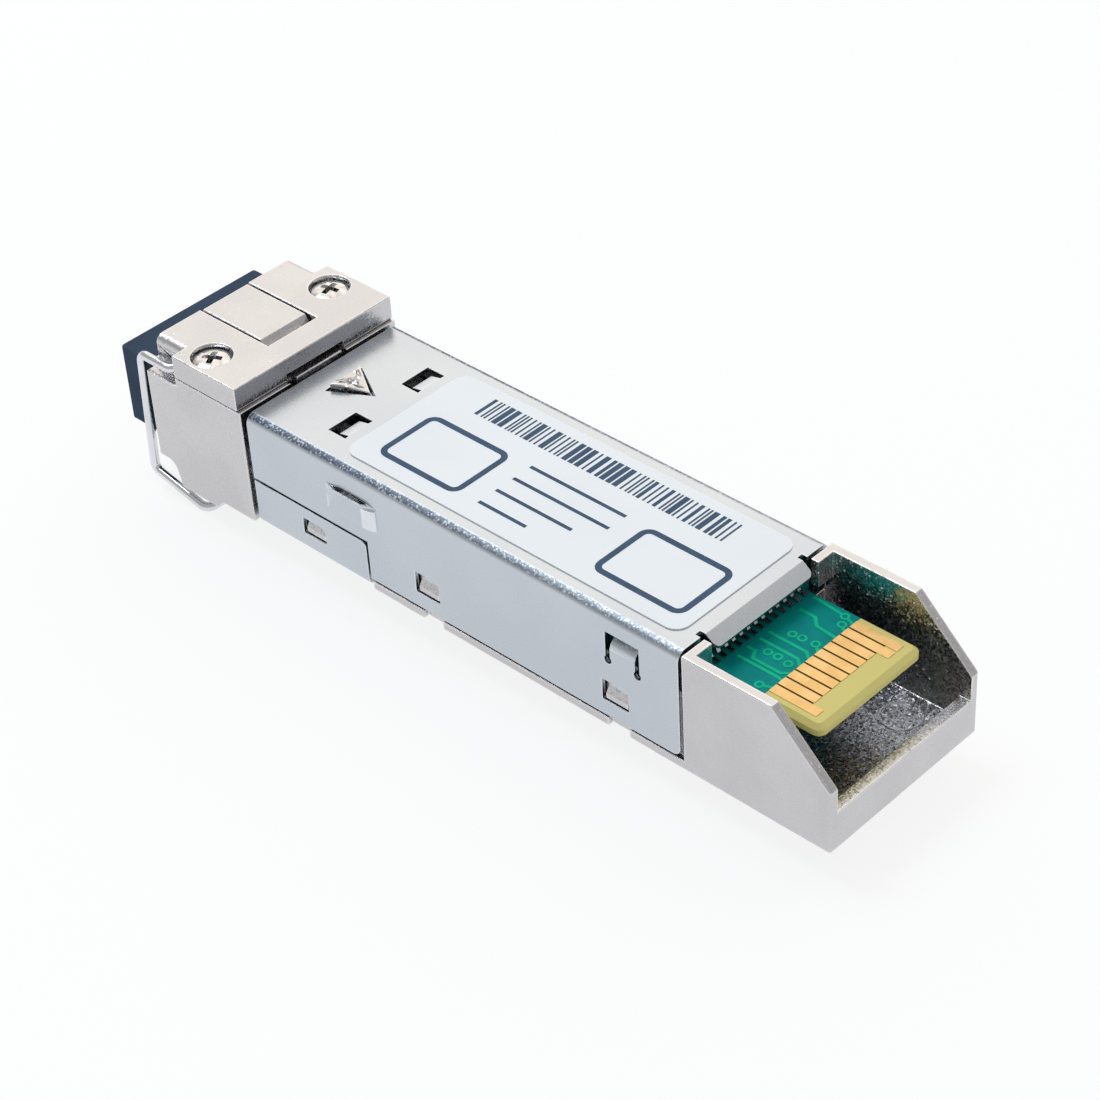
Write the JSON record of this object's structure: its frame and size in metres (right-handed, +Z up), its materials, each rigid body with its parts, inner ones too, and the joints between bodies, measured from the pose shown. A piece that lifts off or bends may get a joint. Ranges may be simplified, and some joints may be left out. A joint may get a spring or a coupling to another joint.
{
  "type": "sfp transceiver",
  "caption": "Pluggable optical transceiver: cast nose with a fibre port and dust plug, wire bail and rocker latch, folded cover with a label, shrouded gold card edge.",
  "frame": {"origin": "middle of the underside of the whole module's box, at the level of the bail's cross bar", "axes": "+X along the module from the fibre port to the card edge, +Y across, +Z up through the label"},
  "size_m": [0.0604, 0.014, 0.0124],
  "materials": {
    "cast_metal": "bright nickel-plated casting with a fine grain",
    "sheet_metal": "satin stainless sheet",
    "bright_wire": "bright drawn wire",
    "screw_metal": "bright plated screw",
    "plug_plastic": "soft dark blue-black plastic",
    "label_film": "plain white label with a slight sheen",
    "board_laminate": "green solder mask over pale laminate",
    "gold_plating": "hard gold plating",
    "solder": "bright solder",
    "spring_steel": "spring steel",
    "turned_steel": "turned stainless steel",
    "white_ceramic": "polished white ceramic",
    "flex_film": "amber flex film",
    "chip_plastic": "black moulding compound",
    "chip_ceramic": "tan chip ceramic",
    "thermal_gel": "soft grey gap pad"
  },
  "bodies": {
    "module": {"base_housing": "cast_metal", "cover_shell": "sheet_metal", "grounding_clip": "sheet_metal", "latch_plate": "cast_metal", "plate_screws": "screw_metal", "label": "label_film", "circuit_board": "board_laminate", "contact_pads_upper": "gold_plating", "contact_pads_lower": "gold_plating", "solder_joints": "solder", "lever_spring": "spring_steel", "receptacle_barrel": "turned_steel", "ferrule_sleeve": "white_ceramic", "optical_block": "turned_steel", "laser_can": "turned_steel", "detector_can": "turned_steel", "laser_flex": "flex_film", "detector_flex": "flex_film", "driver_chip": "chip_plastic", "controller_chip": "chip_plastic", "chip_capacitors": "chip_ceramic", "chip_resistors": "chip_plastic", "thermal_pad": "thermal_gel"},
    "bail": {"bail_wire": "bright_wire"},
    "rocker": {"latch_lever": "cast_metal"},
    "plug": {"dust_plug": "plug_plastic"}
  },
  "joints": [
    {"name": "bail_swing", "type": "hinge", "parent": "module", "child": "bail", "pos_m": [-0.02413, 0, 0.01086], "axis": [0, 1, 0], "range_deg": [0, 90]},
    {"name": "rocker_tilt", "type": "hinge", "parent": "module", "child": "rocker", "pos_m": [-0.01852, 0, 0.01008], "axis": [0, 1, 0], "range_deg": [0, 6]},
    {"name": "plug_pull", "type": "slide", "parent": "module", "child": "plug", "axis": [-1, 0, 0], "range_m": [0, 0.015]}
  ],
  "couplings": [
    {"joint": "rocker_tilt", "follows": "bail_swing", "ratio": 0.066667}
  ]
}
